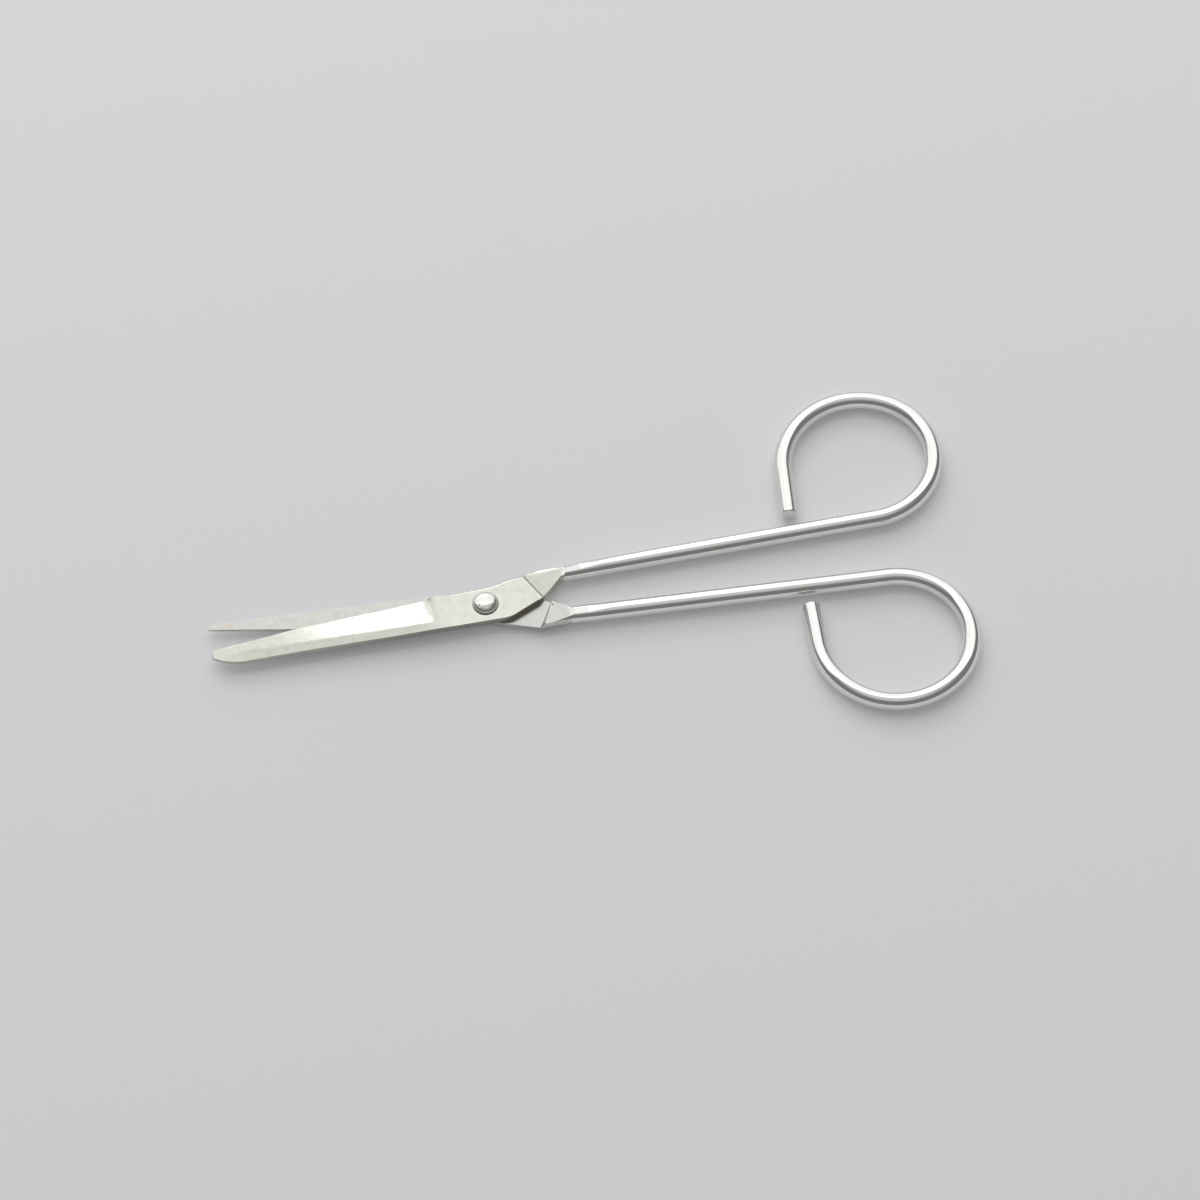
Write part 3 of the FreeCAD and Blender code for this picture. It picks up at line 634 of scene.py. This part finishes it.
# painted shade: darker under the head's seat and in the pock
painted_shade = 0.5 * smooth(-tall, -HEAD_SEAT - 0.12, -HEAD_SEAT - 0.02)
painted_shade = painted_shade + 0.6 * np.exp(-from_pock / 0.02) * on_head
values = {"satin": 0.35 + 0 * tall, "tone_and_highlight": 1.0 + 0 * tall, "tarnish_and_reflection": 0 * tall, "painted_shade": painted_shade}
for label, value in values.items():
    layer = rivet_mesh.attributes.new(label, "FLOAT", "POINT")
    layer.data.foreach_set("value", value.astype(np.float32).ravel())
rivet_mesh.uv_layers.new(name="grain")
made = bmesh.new()
made.from_mesh(rivet_mesh)
bmesh.ops.remove_doubles(made, verts=made.verts, dist=2e-7)
bmesh.ops.recalc_face_normals(made, faces=made.faces)
made.to_mesh(rivet_mesh)
made.free()
rivet_mesh.shade_smooth()
rivet_mesh.set_sharp_from_angle(angle=math.radians(40))
rivet = bpy.data.objects.new("rivet_skin", rivet_mesh)
bpy.context.scene.collection.objects.link(rivet)
rivet_steel = steel("rivet_steel", (0.80, 0.79, 0.76), (0.70, 0.69, 0.66), 0.16, 0.24)
rivet_mesh.materials.append(rivet_steel)
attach(rivet, "sharp_body")
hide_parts("pivot_rivet")

# Floor. A plain pale table top without texture. It keeps the scissors' shadow, and a faint glow that only the
# camera and reflections see makes it paler without lighting the steel.
floor_mesh = bpy.data.meshes.new("floor")
floor_mesh.from_pydata([(-6, -6, 0), (6, -6, 0), (6, 6, 0), (-6, 6, 0)], [], [(0, 1, 2, 3)])
floor = bpy.data.objects.new("floor", floor_mesh)
bpy.context.scene.collection.objects.link(floor)
material = bpy.data.materials.new("floor")
material.use_nodes = True
tree = material.node_tree
tree.nodes.clear()
out_node = tree.nodes.new("ShaderNodeOutputMaterial")
diffuse = tree.nodes.new("ShaderNodeBsdfDiffuse")
diffuse.inputs["Color"].default_value = (0.80, 0.81, 0.82, 1.0)
glow = tree.nodes.new("ShaderNodeEmission")
glow.inputs["Color"].default_value = (0.80, 0.81, 0.82, 1.0)
path = tree.nodes.new("ShaderNodeLightPath")
seen = tree.nodes.new("ShaderNodeMath")
seen.operation = "MAXIMUM"
tree.links.new(path.outputs["Is Camera Ray"], seen.inputs[0])
tree.links.new(path.outputs["Is Glossy Ray"], seen.inputs[1])
seen_too = tree.nodes.new("ShaderNodeMath")
seen_too.operation = "MAXIMUM"
tree.links.new(seen.outputs[0], seen_too.inputs[0])
tree.links.new(path.outputs["Is Transmission Ray"], seen_too.inputs[1])
level = tree.nodes.new("ShaderNodeMath")
level.operation = "MULTIPLY"
level.inputs[1].default_value = 0.12
tree.links.new(seen_too.outputs[0], level.inputs[0])
tree.links.new(level.outputs[0], glow.inputs["Strength"])
both = tree.nodes.new("ShaderNodeAddShader")
tree.links.new(diffuse.outputs[0], both.inputs[0])
tree.links.new(glow.outputs[0], both.inputs[1])
tree.links.new(both.outputs[0], out_node.inputs["Surface"])
floor_mesh.materials.append(material)

# Light and camera. A plain studio: pale horizon, grey walls, brighter overhead, one large window-like lamp
# behind the scissors that gives the wire its white band, and a small bright one within it. The camera stands
# where the photo was taken from.
VIEW_TURN = math.radians(9.9)
TO_CAMERA = np.array([-0.0911, -0.5220, 0.8480])
LOOK_AT = np.array([0.01720, -0.00069, 0.0])

world = bpy.data.worlds.new("studio")
world.use_nodes = True
wt = world.node_tree
way = wt.nodes.new("ShaderNodeTexCoord")
parts = wt.nodes.new("ShaderNodeSeparateXYZ")
wt.links.new(way.outputs["Generated"], parts.inputs[0])
rise = wt.nodes.new("ShaderNodeMapRange")
rise.inputs["From Min"].default_value = 0.08
rise.inputs["From Max"].default_value = 0.24
rise.inputs["To Min"].default_value = 0.75
rise.inputs["To Max"].default_value = 0.20
wt.links.new(parts.outputs["Z"], rise.inputs["Value"])
zenith = wt.nodes.new("ShaderNodeMapRange")
zenith.inputs["From Min"].default_value = 0.80
zenith.inputs["From Max"].default_value = 1.0
zenith.inputs["To Min"].default_value = 0.0
zenith.inputs["To Max"].default_value = 0.50
wt.links.new(parts.outputs["Z"], zenith.inputs["Value"])
sky = wt.nodes.new("ShaderNodeMath")
sky.operation = "ADD"
wt.links.new(rise.outputs[0], sky.inputs[0])
wt.links.new(zenith.outputs[0], sky.inputs[1])
wt.links.new(sky.outputs[0], wt.nodes["Background"].inputs["Color"])
bpy.context.scene.world = world


def softbox(name, azimuth, elevation, distance, wide, high, level):
    """A rectangular lamp seen from the object at an azimuth (0 = away from the camera, + to the right) and an
    elevation, turned to face it. Level is the brightness of its face."""
    lamp = bpy.data.lights.new(name, "AREA")
    lamp.shape = "RECTANGLE"
    lamp.size, lamp.size_y = wide, high
    lamp.energy = level * wide * high * math.pi
    obj = bpy.data.objects.new(name, lamp)
    bpy.context.scene.collection.objects.link(obj)
    a, e = math.radians(azimuth) + VIEW_TURN, math.radians(elevation)
    away = Vector((math.cos(e) * math.sin(a), math.cos(e) * math.cos(a), math.sin(e)))
    obj.location = Vector(LOOK_AT) + away * distance
    obj.rotation_euler = away.to_track_quat("Z", "Y").to_euler()
    return obj


softbox("key", -15, 45, 1.0, 2.0, 1.3, 0.95)
softbox("core", -12, 32, 1.2, 0.5, 0.3, 2.5)

camera = bpy.data.cameras.new("camera")
camera.lens = 142.38
camera.sensor_width = 36.0
view = bpy.data.objects.new("camera", camera)
bpy.context.scene.collection.objects.link(view)
right = np.array([math.cos(VIEW_TURN), -math.sin(VIEW_TURN), 0.0])
back = TO_CAMERA / np.linalg.norm(TO_CAMERA)
right = right - back * (right @ back)
right /= np.linalg.norm(right)
up = np.cross(back, right)
matrix = np.eye(4)
matrix[:3, 0], matrix[:3, 1], matrix[:3, 2] = right, up, back
matrix[:3, 3] = LOOK_AT + back * 0.7108
view.matrix_world = Matrix(matrix.tolist())
camera.clip_start, camera.clip_end = 0.01, 20.0
bpy.context.scene.camera = view
bpy.context.scene.view_settings.view_transform = "Standard"
